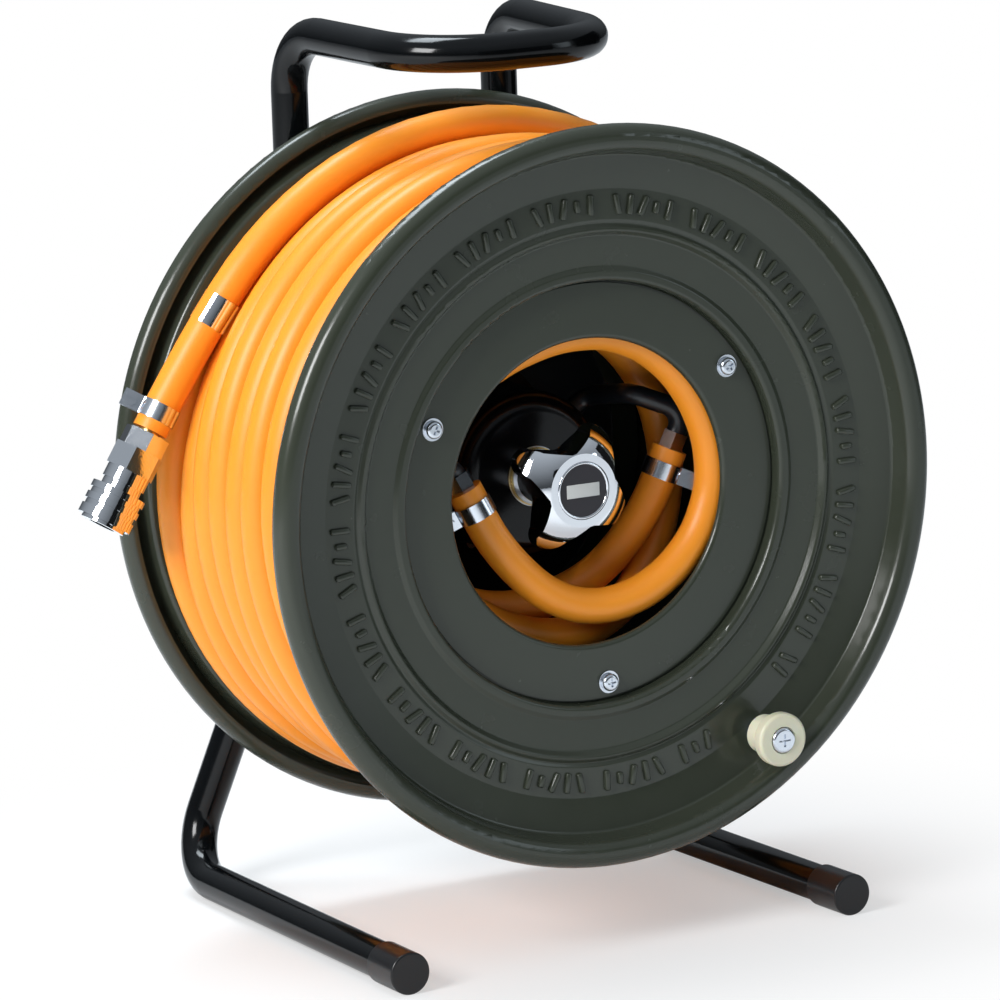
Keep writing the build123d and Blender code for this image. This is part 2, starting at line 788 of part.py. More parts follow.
with BuildPart() as brake_knob:
    with BuildSketch(across(lobe_end, knob_phase)):
        Circle(knob_core_radius)
        with PolarLocations(lobe_middle, knob_lobes):
            Circle(knob_lobe_radius)
        with PolarLocations(0, knob_lobes):
            Polygon(
                (0, -knob_core_radius),
                (lobe_middle, -knob_lobe_radius),
                (lobe_middle, knob_lobe_radius),
                (0, knob_core_radius),
                align=None,
            )
    extrude(amount=lobe_end - knob_face_depth)
    # The lobes slope back from the round face
    with BuildSketch(drum_section):
        with BuildLine():
            Polyline(
                *profile([
                    (knob_lobe_depth, knob_lobe_reach),
                    (lobe_end, knob_lobe_reach),
                    (lobe_end, 0),
                    (knob_face_depth, 0),
                    (knob_face_depth, knob_face_radius),
                ])
            )
            Spline(
                *profile([
                    (knob_face_depth, knob_face_radius),
                    (knob_lobe_depth - knob_lobe_thickness / 2, knob_lobe_reach - 2.5),
                    (knob_lobe_depth, knob_lobe_reach),
                ]),
                tangents=((0.4, 1), (1, 0.3)),
            )
        make_face()
    revolve(axis=axle_axis, mode=Mode.INTERSECT)
    with BuildSketch(across(lobe_end)):
        Circle(knob_shank_radius)
    extrude(amount=-(shank_end - lobe_end))
    with BuildSketch(across(knob_face_depth)):
        Circle(badge_radius)
    extrude(amount=-(badge_sink + badge_height), mode=Mode.SUBTRACT)
    with BuildSketch(across(shank_end)):
        Circle(insert_flats / 2 * hex_ratio)
    extrude(amount=shank_end - thread_end + running_gap, mode=Mode.SUBTRACT)
    with BuildSketch(across(thread_end - running_gap)):
        RegularPolygon(insert_flats / 2 * hex_ratio, 6)
    extrude(amount=insert_length, mode=Mode.SUBTRACT)
    with BuildSketch(across(insert_start)):
        Circle(axle_thread_radius + free_gap)
    extrude(amount=insert_start - axle_tip_depth + 1, mode=Mode.SUBTRACT)
save(brake_knob, "brake_knob")

with BuildPart() as knob_insert:
    with BuildSketch(across(thread_end - running_gap)):
        RegularPolygon(insert_flats / 2 * hex_ratio, 6)
        Circle(axle_thread_radius + running_gap, mode=Mode.SUBTRACT)
    extrude(amount=insert_length)
save(knob_insert, "knob_insert")

with BuildPart() as knob_badge:
    with BuildSketch(across(knob_face_depth + badge_sink + badge_height)):
        Circle(badge_radius)
    extrude(amount=badge_height)
save(knob_badge, "knob_badge")

# =====================================================================
# Hub hose: from the wall fitting, round the hub, to the delivery pipe
# =====================================================================


def route_bends(points, share=0.45):
    """Largest arc that fits at each corner of a route."""
    bends = []
    for a, b, c in zip(points, points[1:], points[2:]):
        half_turn = radians((b - a).get_angle(c - b)) / 2
        bends.append(share * min((b - a).length, (c - b).length) / tan(half_turn))
    return bends


hub_hose_route = [
    spot(-49.0, 46.0, 3.0),
    spot(-37.8, 42.0, -20.8),
    spot(-27.5, 40.0, -34.8),
    spot(-15.0, 37.0, -47.5),
    spot(0.5, 35.0, -55.5),
    spot(16.0, 33.0, -57.5),
    spot(33.0, 31.0, -53.8),
    spot(49.5, 30.0, -44.5),
    spot(64.5, 29.8, -29.0),
    spot(73.0, 29.8, -7.0),
    spot(71.8, 29.8, 14.5),
    spot(64.8, 29.8, 33.0),
    spot(53.2, 29.8, 49.8),
    spot(37.4, 30.2, 62.8),
    spot(17.5, 31.0, 70.8),
    spot(-6.5, 32.5, 71.2),
    spot(-33.5, 37.0, 62.5),
    spot(-56.0, 45.0, 44.0),
    spot(-72.5, 53.0, 16.0),
    spot(-72.5, 57.0, -16.0),
    spot(-58.0, 55.5, -44.0),
    spot(-35.0, 53.0, -62.5),
    spot(-10.0, 52.0, -72.0),
    spot(16.0, 52.3, -73.5),
    spot(43.0, 58.0, -62.0),
    spot(66.0, 68.5, -36.0),
    spot(76.5, 76.0, -4.0),
    spot(71.5, 79.5, 29.0),
    spot(51.0, 80.5, 58.0),
    spot(19.0, 80.0, 75.0),
    spot(-18.0, 80.0, 75.5),
    spot(-51.0, 80.0, 57.5),
    spot(-72.5, 79.5, 27.0),
    spot(-75.5, 78.0, -8.0),
    spot(-61.0, 76.5, -39.0),
    spot(-34.0, 74.0, -59.0),
    spot(-4.0, 70.5, -62.5),
    spot(29.0, 64.0, -50.0),
    spot(52.5, 59.2, -24.0),
    spot(65.5, 55.5, 7.0),
]
hub_hose_bends = route_bends(hub_hose_route)
print("hub hose bends", [round(bend) for bend in hub_hose_bends])
with BuildPart() as hub_hose:
    with BuildLine() as hub_hose_line:
        FilletPolyline(*hub_hose_route, radius=hub_hose_bends)
    with BuildSketch(Plane(origin=hub_hose_line.line @ 0, z_dir=hub_hose_line.line % 0)):
        Circle(hose_radius)
        Circle(hose_bore_radius, mode=Mode.SUBTRACT)
    sweep(path=hub_hose_line.line)
hose_section = pi * (hose_radius ** 2 - hose_bore_radius ** 2)
hub_hose_length = sum(edge.length for edge in hub_hose_line.edges())
print("hub hose length", round(hub_hose_length), round(hub_hose.part.volume / hose_section))
save(hub_hose, "hub_hose")


def pipe_end(end, before):
    """Direction that leaves the hose at its end, and the pipe's end inside it."""
    out = (end - before).normalized()
    return out, end - out * pipe_grip


wall_end = hub_hose_route[0]
wall_out, wall_grip = pipe_end(wall_end, hub_hose_route[1])
port_end = hub_hose_route[-1]
port_out, port_grip = pipe_end(port_end, hub_hose_route[-2])
wall_pipe_corner = wall_end + wall_out * wall_pipe_lead
wall_pipe_stop = barrel_radius - wall_pipe_inset
wall_pipe_route = [
    wall_grip,
    wall_pipe_corner,
    spot(-77.0, wall_pipe_depth, wall_pipe_rise),
    spot(-wall_pipe_stop, wall_pipe_depth, wall_pipe_rise),
]
port_pipe_corner = port_end + port_out * port_pipe_lead
port_pipe_top = port_plane.origin + port_axis * port_pipe_reach
port_pipe_foot = port_plane.origin + port_axis * port_seat
port_pipe_route = [
    port_grip,
    port_pipe_corner,
    spot(49.0, 61.0, 34.0),
    port_pipe_top,
    port_pipe_foot,
]
for name, route in (("wall_pipe", wall_pipe_route), ("delivery_pipe", port_pipe_route)):
    with BuildPart() as pipe:
        with BuildLine() as pipe_line:
            FilletPolyline(*route, radius=pipe_bend)
        with BuildSketch(Plane(origin=pipe_line.line @ 0, z_dir=pipe_line.line % 0)):
            Circle(pipe_radius)
            Circle(pipe_bore_radius, mode=Mode.SUBTRACT)
        sweep(path=pipe_line.line)
    save(pipe, name)

# Collars against the hose's ends
collars = (("wall_pipe_collar", wall_end, wall_out), ("delivery_pipe_collar", port_end, port_out))
for name, end, out in collars:
    with BuildPart() as collar:
        with BuildSketch(Plane(origin=end, z_dir=out)):
            RegularPolygon(collar_flats / 2 * hex_ratio, 6)
            Circle(pipe_radius, mode=Mode.SUBTRACT)
        extrude(amount=collar_length)
    save(collar, name)

# Welded boss where the wall pipe passes the barrel
with BuildPart() as wall_boss:
    boss_start = spot(-barrel_radius + wall_boss_length, wall_pipe_depth, wall_pipe_rise)
    with BuildSketch(Plane(origin=boss_start, z_dir=(-1, 0, 0))):
        Circle(wall_boss_radius)
        Circle(pipe_radius, mode=Mode.SUBTRACT)
    extrude(amount=2 * wall_boss_length)
    with BuildSketch(across(barrel_start)):
        Circle(barrel_radius - sheet)
    extrude(amount=-(barrel_end - barrel_start), mode=Mode.INTERSECT)
save(wall_boss, "wall_boss")

# =====================================================================
# Wound hose, its free end and the coupler
# =====================================================================

pile_start = groove_depth + pile_end_margin
pile_end = drum_span - pile_start
row_pitch = (pile_end - pile_start) / pile_rows
pile_inner = barrel_radius + pile_margin
top_row = pile_inner + hose_radius + (pile_layers - 1) * layer_pitch


def strand_section(angle):
    """Section through the axle at an angle: local x along the axle, local y the radius."""
    out = Vector(cos(radians(angle)), 0, sin(radians(angle)))
    return Plane(origin=(0, 0, axle_height), x_dir=(0, 1, 0), z_dir=Vector(0, 1, 0).cross(out))


with BuildPart() as hose_pile:
    with BuildSketch(drum_section):
        with BuildLine():
            Polyline(
                *profile([
                    (pile_start, top_row + row_rises[0]),
                    (pile_start, pile_inner),
                    (pile_end, pile_inner),
                    (pile_end, top_row + row_rises[-1]),
                ])
            )
            for row, rise in enumerate(row_rises):
                middle = pile_start + (row + 0.5) * row_pitch
                ThreePointArc(
                    *profile([
                        (middle - row_pitch / 2, top_row + rise),
                        (middle, top_row + rise + row_pitch / 2),
                        (middle + row_pitch / 2, top_row + rise),
                    ])
                )
            for row, (rise, next_rise) in enumerate(zip(row_rises, row_rises[1:])):
                if rise != next_rise:
                    edge = pile_start + (row + 1) * row_pitch
                    Line(*profile([(edge, top_row + rise), (edge, top_row + next_rise)]))
        make_face()
    revolve(axis=axle_axis)
    # The last strand lies on the pile, up to where the free end begins
    with BuildSketch(strand_section(tail_start)):
        with Locations((rim_y + tail_plane, tail_radius)):
            Circle(hose_radius)
        with Locations((rim_y + tail_plane, (tail_radius + top_row) / 2)):
            Rectangle(hose_radius, tail_radius - top_row)
    revolve(axis=axle_axis, revolution_arc=tail_back)
save(hose_pile, "hose_pile")


def strand_point(radius, angle, depth=tail_plane):
    """A point round the drum from radius, angle and depth."""
    x, z = around(radius, angle)
    return spot(x, depth, z)


def tangent(angle):
    """Direction of a strand that goes round the drum at an angle."""
    return Vector(cos(radians(angle + 90)), 0, sin(radians(angle + 90)))


# Route of the free end: round the pile, then off it and a little back to the coupler
tail_step = (tail_leave - tail_start) / tail_steps
tail_corner = tail_radius / cos(radians(tail_step / 2))
tail_route = [strand_point(tail_radius, tail_start)]
for step in range(tail_steps):
    tail_route.append(strand_point(tail_corner, tail_start + (step + 0.5) * tail_step))
leave_point = strand_point(tail_radius, tail_leave)
lift_point = leave_point + tangent(tail_leave) * tail_straight + Vector(0, tail_drift, 0)
end_step = tangent(tail_leave + tail_turn)
clip_step = (lift_point - tail_route[-1]).normalized()
tail_end = lift_point + end_step * tail_run
tail_route += [lift_point, tail_end]
tail_bends = route_bends(tail_route, 0.499)[:-2] + route_bends(tail_route, 0.35)[-2:]
print("tail bends", [round(bend) for bend in tail_bends])
with BuildPart() as hose_tail:
    with BuildLine() as tail_line:
        FilletPolyline(*tail_route, radius=tail_bends)
    with BuildSketch(Plane(origin=tail_line.line @ 0, z_dir=tail_line.line % 0)):
        Circle(hose_radius)
        Circle(hose_bore_radius, mode=Mode.SUBTRACT)
    sweep(path=tail_line.line)
tail_length = sum(edge.length for edge in tail_line.edges())
print("tail length", round(tail_length), round(hose_tail.part.volume / hose_section))
save(hose_tail, "hose_tail")

view_side = Vector(-0.476, -0.858, 0.19)    # the side that the clip and the clamps face


def sideways(out):
    """Square to a hose that runs along out, and to the side that its fittings face."""
    return out.cross(view_side).normalized()


# Bright clip round most of the hose, where it leaves the pile
clip_front = sideways(clip_step).cross(clip_step)
clip_slot = clip_front * cos(radians(clip_turn)) + sideways(clip_step) * sin(radians(clip_turn))
clip_foot = lift_point - clip_step * (tail_straight - clip_inset)
clip_plane = Plane(origin=clip_foot, x_dir=clip_slot, z_dir=clip_step)
with BuildPart() as hose_clip:
    with BuildSketch(clip_plane):
        Circle(hose_radius + clip_wall)
        Circle(hose_radius, mode=Mode.SUBTRACT)
        with Locations((hose_radius, 0)):
            Rectangle(hose_radius, 2 * clip_open, mode=Mode.SUBTRACT)
    extrude(amount=clip_length)
save(hose_clip, "hose_clip")


def make_clamp(end, out, ears, band_name, screw_name):
    """Pinch clamp: a band with two ears, and the screw and nut that pull them together."""
    plane = Plane(origin=end - out * (clamp_inset - clamp_width / 2), x_dir=ears, z_dir=-out)
    ear_end = hose_radius + clamp_sheet + clamp_ear
    ear_height = clamp_gap / 2 + clamp_sheet
    with BuildPart() as band:
        with BuildSketch(plane):
            Circle(hose_radius + clamp_sheet)
            with Locations((ear_end / 2, 0)):
                Rectangle(ear_end, 2 * ear_height)
            Circle(hose_radius, mode=Mode.SUBTRACT)
            with Locations((ear_end / 2 + 1, 0)):
                Rectangle(ear_end + 2, clamp_gap, mode=Mode.SUBTRACT)
        extrude(amount=clamp_width)
        bolt_x = hose_radius + clamp_sheet + clamp_ear * 0.55
        bolt_origin = plane.origin + plane.x_dir * bolt_x + plane.z_dir * (clamp_width / 2)
        bolt = Plane(origin=bolt_origin, x_dir=plane.x_dir, z_dir=plane.y_dir)
        with BuildSketch(bolt.offset(-2 * ear_height)):
            Circle(clamp_screw_radius)
        extrude(amount=4 * ear_height, mode=Mode.SUBTRACT)
    save(band, band_name)
    with BuildPart() as screw:
        with BuildSketch(bolt.offset(ear_height)):
            Circle(clamp_head_radius)
        extrude(amount=clamp_head_height)
        with BuildSketch(bolt.offset(-ear_height - clamp_nut_height - 1)):
            Circle(clamp_screw_radius)
        extrude(amount=2 * ear_height + clamp_nut_height + 1)
        with BuildSketch(bolt.offset(-ear_height)):
            RegularPolygon(clamp_nut_flats / 2 * hex_ratio, 6)
        extrude(amount=-clamp_nut_height)
        with BuildSketch(bolt.offset(ear_height + clamp_head_height)):
            Rectangle(2 * clamp_head_radius, slot_width * 0.8)
        extrude(amount=-slot_depth * 0.7, mode=Mode.SUBTRACT)
    save(screw, screw_name)


make_clamp(tail_end, end_step, sideways(end_step), "tail_clamp", "tail_clamp_screw")
make_clamp(wall_end, wall_out, sideways(-wall_out), "wall_clamp", "wall_clamp_screw")
make_clamp(port_end, port_out, sideways(port_out), "port_clamp", "port_clamp_screw")

# Coupler, built along the hose's end.  Heights below run from the end of the hose.
hex_start = coupler_nut_length
neck_start = hex_start + coupler_hex_length
groove_start = neck_start + coupler_neck_length
sleeve_start = groove_start + coupler_groove_length
socket_end = sleeve_start + sleeve_length + ring_width


def coupler_plane(height):
    """A plane across the coupler, its normal pointing away from the hose."""
    return Plane(origin=tail_end + end_step * height, x_dir=(0, 1, 0), z_dir=end_step)


ball_plane = coupler_plane(socket_end - ball_inset)
with BuildPart() as coupler_nut:
    with BuildSketch(coupler_plane(0)):
        RegularPolygon(coupler_nut_flats / 2 * hex_ratio, 6, rotation=14)
        Circle(hose_bore_radius, mode=Mode.SUBTRACT)
    extrude(amount=coupler_nut_length)
save(coupler_nut, "coupler_nut")

with BuildPart() as coupler_barb:
    with BuildSketch(coupler_plane(-pipe_grip)):
        Circle(hose_bore_radius)
    extrude(amount=pipe_grip + hex_start)
    with BuildSketch(coupler_plane(-pipe_grip)):
        Circle(pipe_bore_radius)
    extrude(amount=pipe_grip + hex_start, mode=Mode.SUBTRACT)
save(coupler_barb, "coupler_barb")

with BuildPart() as coupler_body:
    with BuildSketch(coupler_plane(hex_start)):
        RegularPolygon(coupler_hex_flats / 2 * hex_ratio, 6, rotation=36)
    extrude(amount=coupler_hex_length)
    with BuildSketch(coupler_plane(neck_start)):
        Circle(coupler_neck_radius)
    extrude(amount=coupler_neck_length)
    with BuildSketch(coupler_plane(groove_start)):
        Circle(coupler_groove_radius)
    extrude(amount=socket_end - groove_start)
    with BuildSketch(coupler_plane(hex_start)):
        Circle(pipe_bore_radius)
    extrude(amount=socket_end - hex_start, mode=Mode.SUBTRACT)
    with BuildSketch(coupler_plane(socket_end)):
        Circle(socket_bore_radius)
    extrude(amount=-socket_depth, mode=Mode.SUBTRACT)
    with BuildSketch(coupler_plane(socket_end)):
        Circle(valve_bore_radius)
    extrude(amount=-(socket_depth + valve_bore_depth), mode=Mode.SUBTRACT)
    for n in range(coupler_balls):
        turn = 2 * pi * n / coupler_balls
        ball_way = ball_plane.x_dir * cos(turn) + ball_plane.y_dir * sin(turn)
        with BuildSketch(Plane(origin=ball_plane.origin, z_dir=ball_way)):
            Circle(ball_radius + running_gap)
        extrude(amount=2 * coupler_groove_radius, mode=Mode.SUBTRACT)
save(coupler_body, "coupler_body")

ball_circle = coupler_groove_radius - ball_radius - running_gap
with BuildPart() as coupler_ball_set:
    with Locations(ball_plane):
        with PolarLocations(ball_circle, coupler_balls):
            Sphere(ball_radius)
save(coupler_ball_set, "coupler_balls")

sleeve_bore = coupler_groove_radius + sleeve_clearance
with BuildPart() as coupler_sleeve:
    with BuildSketch(coupler_plane(sleeve_start)):
        Circle(sleeve_radius - 1.0)
    extrude(amount=sleeve_length)
    for start, length in ((0.0, 0.2), (0.36, 0.2), (0.72, 0.28)):
        with BuildSketch(coupler_plane(sleeve_start + start * sleeve_length)):
            Circle(sleeve_radius)
        extrude(amount=length * sleeve_length)
    with BuildSketch(coupler_plane(sleeve_start)):
        Circle(sleeve_bore)
    extrude(amount=sleeve_length, mode=Mode.SUBTRACT)
save(coupler_sleeve, "coupler_sleeve")

with BuildPart() as coupler_ring:
    with BuildSketch(coupler_plane(socket_end - ring_width)):
        Circle(coupler_groove_radius + ring_height)
        Circle(coupler_groove_radius, mode=Mode.SUBTRACT)
    extrude(amount=ring_width)
save(coupler_ring, "coupler_ring")

valve_face = socket_end - socket_depth - free_gap
with BuildPart() as coupler_valve:
    with BuildSketch(coupler_plane(valve_face)):
        Circle(valve_bore_radius - running_gap)
    extrude(amount=-valve_height)
save(coupler_valve, "coupler_valve")
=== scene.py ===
import json
import math

import bpy
from mathutils import Matrix, Vector


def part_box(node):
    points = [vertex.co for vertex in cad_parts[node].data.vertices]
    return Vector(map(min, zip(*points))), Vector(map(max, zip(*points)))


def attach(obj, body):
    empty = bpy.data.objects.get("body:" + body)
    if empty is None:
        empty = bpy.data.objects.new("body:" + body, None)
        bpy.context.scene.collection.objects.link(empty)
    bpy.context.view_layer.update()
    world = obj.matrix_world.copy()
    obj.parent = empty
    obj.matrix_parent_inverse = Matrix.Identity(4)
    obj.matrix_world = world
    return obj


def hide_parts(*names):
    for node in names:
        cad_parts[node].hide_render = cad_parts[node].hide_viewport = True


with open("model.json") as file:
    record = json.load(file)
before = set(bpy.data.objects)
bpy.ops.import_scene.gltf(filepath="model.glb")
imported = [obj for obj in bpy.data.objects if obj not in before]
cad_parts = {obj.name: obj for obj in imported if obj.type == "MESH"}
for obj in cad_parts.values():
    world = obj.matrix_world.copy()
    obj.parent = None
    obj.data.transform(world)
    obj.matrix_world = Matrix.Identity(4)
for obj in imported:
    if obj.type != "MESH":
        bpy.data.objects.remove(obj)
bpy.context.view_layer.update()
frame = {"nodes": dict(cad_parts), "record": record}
nodes = frame["nodes"]
bpy.ops.object.select_all(action="DESELECT")

# ---------------------------------------------------------------------
# Places, in metres, from the frame
# ---------------------------------------------------------------------
flange_low, flange_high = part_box("front_flange")
AXLE_Z = (flange_low.z + flange_high.z) / 2
RIM_ROLL = 0.00565          # the rim's middle plane behind its front edge
RIM_Y = flange_low.y + RIM_ROLL


def spot(x, depth, z):
    """A point in millimetres from the axle and the front rim's middle plane."""
    return Vector((x / 1000, RIM_Y + depth / 1000, AXLE_Z + z / 1000))


def ring_spot(radius, angle, depth):
    """A point on a circle about the axle, in millimetres and degrees."""
    turn = math.radians(angle)
    return spot(radius * math.cos(turn), depth, radius * math.sin(turn))


# ---------------------------------------------------------------------
# Camera
# ---------------------------------------------------------------------


def add_camera():
    yaw, pitch, roll = 0.5064, 0.1937, -0.0322
    ahead = Vector((
        math.sin(yaw) * math.cos(pitch), math.cos(yaw) * math.cos(pitch), -math.sin(pitch)
    ))
    level = Vector((math.cos(yaw), -math.sin(yaw), 0))
    rise = level.cross(ahead)
    side = level * math.cos(roll) + rise * math.sin(roll)
    top = rise * math.cos(roll) - level * math.sin(roll)
    turn = Matrix((side, top, -ahead)).transposed()
    data = bpy.data.cameras.new("camera")
    data.sensor_width = 36
    data.lens = 230.5
    data.shift_x = -0.002
    data.shift_y = -0.0027
    data.clip_end = 50
    camera = bpy.data.objects.new("camera", data)
    camera.matrix_world = Matrix.Translation(spot(-1416.5, -2454.8, 557.9)) @ turn.to_4x4()
    bpy.context.scene.collection.objects.link(camera)
    bpy.context.scene.camera = camera


add_camera()

# ---------------------------------------------------------------------
# Wound hose
# ---------------------------------------------------------------------
HOSE_RADIUS = 8.25
BARREL_RADIUS = 99.9
PILE_MARGIN = 0.3           # winding to the barrel
LAYER_PITCH = 16.4
ROWS = 8
LAYERS = 3
PILE_START = 13.7
PILE_END = 144.3
TAIL_PLANE = 118.0
TAIL_RADIUS = 158.0
TAIL_START = 24.0
TAIL_LEAVE = 145.0
TAIL_STEPS = 5
TAIL_STRAIGHT = 34.0
TAIL_DRIFT = 6.0
TAIL_TURN = 2.5
TAIL_RUN = 37.0
COIL_STEP = 15.0            # degrees between points of the coil
CROSSING = 70.0             # degrees over which a turn moves to the next row
CROSSING_START = 250.0      # low on the far side
COIL_START = 175.0          # the winding's first point, at the wall pipe
# Each turn of the top layer: how far it stands up, how much more it swells, and where
TOP_TURNS = [
    (2.0, 2.0, 200), (4.0, 2.5, 165), (8.0, 1.0, 120), (6.5, 2.5, 225),
    (7.0, 1.5, 150), (4.5, 3.0, 190), (-1.0, 10.5, 212), (6.5, 3.5, 195),
]


def smooth(share):
    return share * share * (3 - 2 * share)


def turn_place(number, angle):
    """Radius and depth of a turn of the winding at an angle."""
    layer = number // ROWS
    if layer >= LAYERS:
        return TAIL_RADIUS, TAIL_PLANE
    row = number % ROWS
    radius = BARREL_RADIUS + PILE_MARGIN + HOSE_RADIUS + layer * LAYER_PITCH
    if layer == LAYERS - 1:
        rise, swell, middle = TOP_TURNS[row]
        radius += rise + swell * max(math.cos(math.radians(angle - middle)), 0) ** 3
    if layer % 2:
        row = ROWS - 1 - row
    return radius, PILE_START + (row + 0.5) * (PILE_END - PILE_START) / ROWS


def hose_route():
    """Control points of the whole hose, from the barrel out to the coupler."""
    points = []
    spread = 1 / math.cos(math.radians(COIL_STEP / 2))
    angle = COIL_START
    while angle < 360 * LAYERS * ROWS + TAIL_START - COIL_STEP / 2:
        passed = (angle - CROSSING_START) / 360 + 1
        number = math.floor(passed)
        share = smooth(min((passed - number) * 360 / CROSSING, 1))
        before = turn_place(max(number - 1, 0), angle)
        after = turn_place(number, angle)
        radius, depth = (a + (b - a) * share for a, b in zip(before, after))
        points.append(ring_spot(radius * spread, angle, depth))
        angle += COIL_STEP
    step = (TAIL_LEAVE - TAIL_START) / TAIL_STEPS
    corner = TAIL_RADIUS / math.cos(math.radians(step / 2))
    for n in range(TAIL_STEPS):
        points.append(ring_spot(corner, TAIL_START + (n + 0.5) * step, TAIL_PLANE))
    leave = math.radians(TAIL_LEAVE + 90)
    droop = math.radians(TAIL_LEAVE + 90 + TAIL_TURN)
    lift = ring_spot(TAIL_RADIUS, TAIL_LEAVE, TAIL_PLANE + TAIL_DRIFT)
    lift += Vector((math.cos(leave), 0, math.sin(leave))) * TAIL_STRAIGHT / 1000
    points.append(lift)
    points.append(lift + Vector((math.cos(droop), 0, math.sin(droop))) * TAIL_RUN / 1000)
    return points


def nurbs_hose(name, points, radius):
    """A smooth round hose along its control points."""
    curve = bpy.data.curves.new(name, "CURVE")
    curve.dimensions = "3D"
    line = curve.splines.new("NURBS")
    line.points.add(len(points) - 1)
    for place, point in zip(points, line.points):
        point.co = (*place, 1)
        point.radius = radius / 1000
    line.order_u = 3
    line.use_endpoint_u = True
    line.resolution_u = 5
    curve.bevel_depth = 1.0
    curve.bevel_resolution = 8
    curve.use_fill_caps = True
    hose = bpy.data.objects.new(name, curve)
    bpy.context.scene.collection.objects.link(hose)
    return hose


hose_points = hose_route()
main_hose = nurbs_hose("main_hose", hose_points, HOSE_RADIUS)
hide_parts("hose_pile", "hose_tail")
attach(main_hose, "drum")

# ---------------------------------------------------------------------
# Materials
# ---------------------------------------------------------------------


def node_group(name, inputs, outputs):
    group = bpy.data.node_groups.new(name, "ShaderNodeTree")
    for label, kind, value in inputs:
        socket = group.interface.new_socket(label, in_out="INPUT", socket_type=kind)
        socket.default_value = value
    for label, kind in outputs:
        group.interface.new_socket(label, in_out="OUTPUT", socket_type=kind)
    start = group.nodes.new("NodeGroupInput")
    end = group.nodes.new("NodeGroupOutput")
    return group, start, end


def surface_grain():
    """Fine unevenness: a mottled colour, a roughness that varies and a small height."""
    group, start, end = node_group(
        "surface_grain",
        [
            ("Colour", "NodeSocketColor", (0.5, 0.5, 0.5, 1)),
            ("Variation", "NodeSocketFloat", 0.1),
            ("Roughness", "NodeSocketFloat", 0.4),
            ("Roughness Spread", "NodeSocketFloat", 0.1),
            ("Scale", "NodeSocketFloat", 60.0),
            ("Fine Scale", "NodeSocketFloat", 900.0),
        ],
        [
            ("Colour", "NodeSocketColor"),
            ("Roughness", "NodeSocketFloat"),
            ("Height", "NodeSocketFloat"),
        ],
    )
    n, link = group.nodes, group.links.new
    place = n.new("ShaderNodeTexCoord")
    broad = n.new("ShaderNodeTexNoise")
    broad.inputs["Detail"].default_value = 4
    fine = n.new("ShaderNodeTexNoise")
    fine.inputs["Detail"].default_value = 2
    link(place.outputs["Object"], broad.inputs["Vector"])
    link(place.outputs["Object"], fine.inputs["Vector"])
    link(start.outputs["Scale"], broad.inputs["Scale"])
    link(start.outputs["Fine Scale"], fine.inputs["Scale"])
    centred = n.new("ShaderNodeMath")
    centred.operation = "SUBTRACT"
    centred.inputs[1].default_value = 0.5
    link(broad.outputs["Fac"], centred.inputs[0])
    shade = n.new("ShaderNodeMath")
    shade.operation = "MULTIPLY_ADD"
    shade.inputs[2].default_value = 1.0
    link(centred.outputs[0], shade.inputs[0])
    link(start.outputs["Variation"], shade.inputs[1])
    tint = n.new("ShaderNodeVectorMath")
    tint.operation = "SCALE"
    link(start.outputs["Colour"], tint.inputs[0])
    link(shade.outputs[0], tint.inputs["Scale"])
    link(tint.outputs["Vector"], end.inputs["Colour"])
    rough = n.new("ShaderNodeMath")
    rough.operation = "MULTIPLY_ADD"
    link(centred.outputs[0], rough.inputs[0])
    link(start.outputs["Roughness Spread"], rough.inputs[1])
    link(start.outputs["Roughness"], rough.inputs[2])
    link(rough.outputs[0], end.inputs["Roughness"])
    link(fine.outputs["Fac"], end.inputs["Height"])
    return group


GRAIN = surface_grain()


def finish(
    name, colour, roughness, metallic=0.0, coat=0.0, variation=0.1, spread=0.08,
    scale=60.0, fine=900.0, bump=0.05, depth=0.0002, specular=0.5, subsurface=0.0,
):
    """A material whose colour, roughness and height come from the grain group."""
    material = bpy.data.materials.new(name)
    material.use_nodes = True
    n, link = material.node_tree.nodes, material.node_tree.links.new
    shader = n["Principled BSDF"]
    grain = n.new("ShaderNodeGroup")
    grain.node_tree = GRAIN
    grain.inputs["Colour"].default_value = (*colour, 1)
    grain.inputs["Variation"].default_value = variation
    grain.inputs["Roughness"].default_value = roughness
    grain.inputs["Roughness Spread"].default_value = spread
    grain.inputs["Scale"].default_value = scale
    grain.inputs["Fine Scale"].default_value = fine
    link(grain.outputs["Colour"], shader.inputs["Base Color"])
    link(grain.outputs["Roughness"], shader.inputs["Roughness"])
    lift = n.new("ShaderNodeBump")
    lift.inputs["Strength"].default_value = bump
    lift.inputs["Distance"].default_value = depth
    link(grain.outputs["Height"], lift.inputs["Height"])
    link(lift.outputs["Normal"], shader.inputs["Normal"])
    shader.inputs["Metallic"].default_value = metallic
    shader.inputs["Coat Weight"].default_value = coat
    shader.inputs["Coat Roughness"].default_value = 0.06
    shader.inputs["Specular IOR Level"].default_value = specular
    if subsurface:
        shader.inputs["Subsurface Weight"].default_value = subsurface
        shader.inputs["Subsurface Radius"].default_value = (1.0, 0.35, 0.1)
        shader.inputs["Subsurface Scale"].default_value = 0.003
    return material


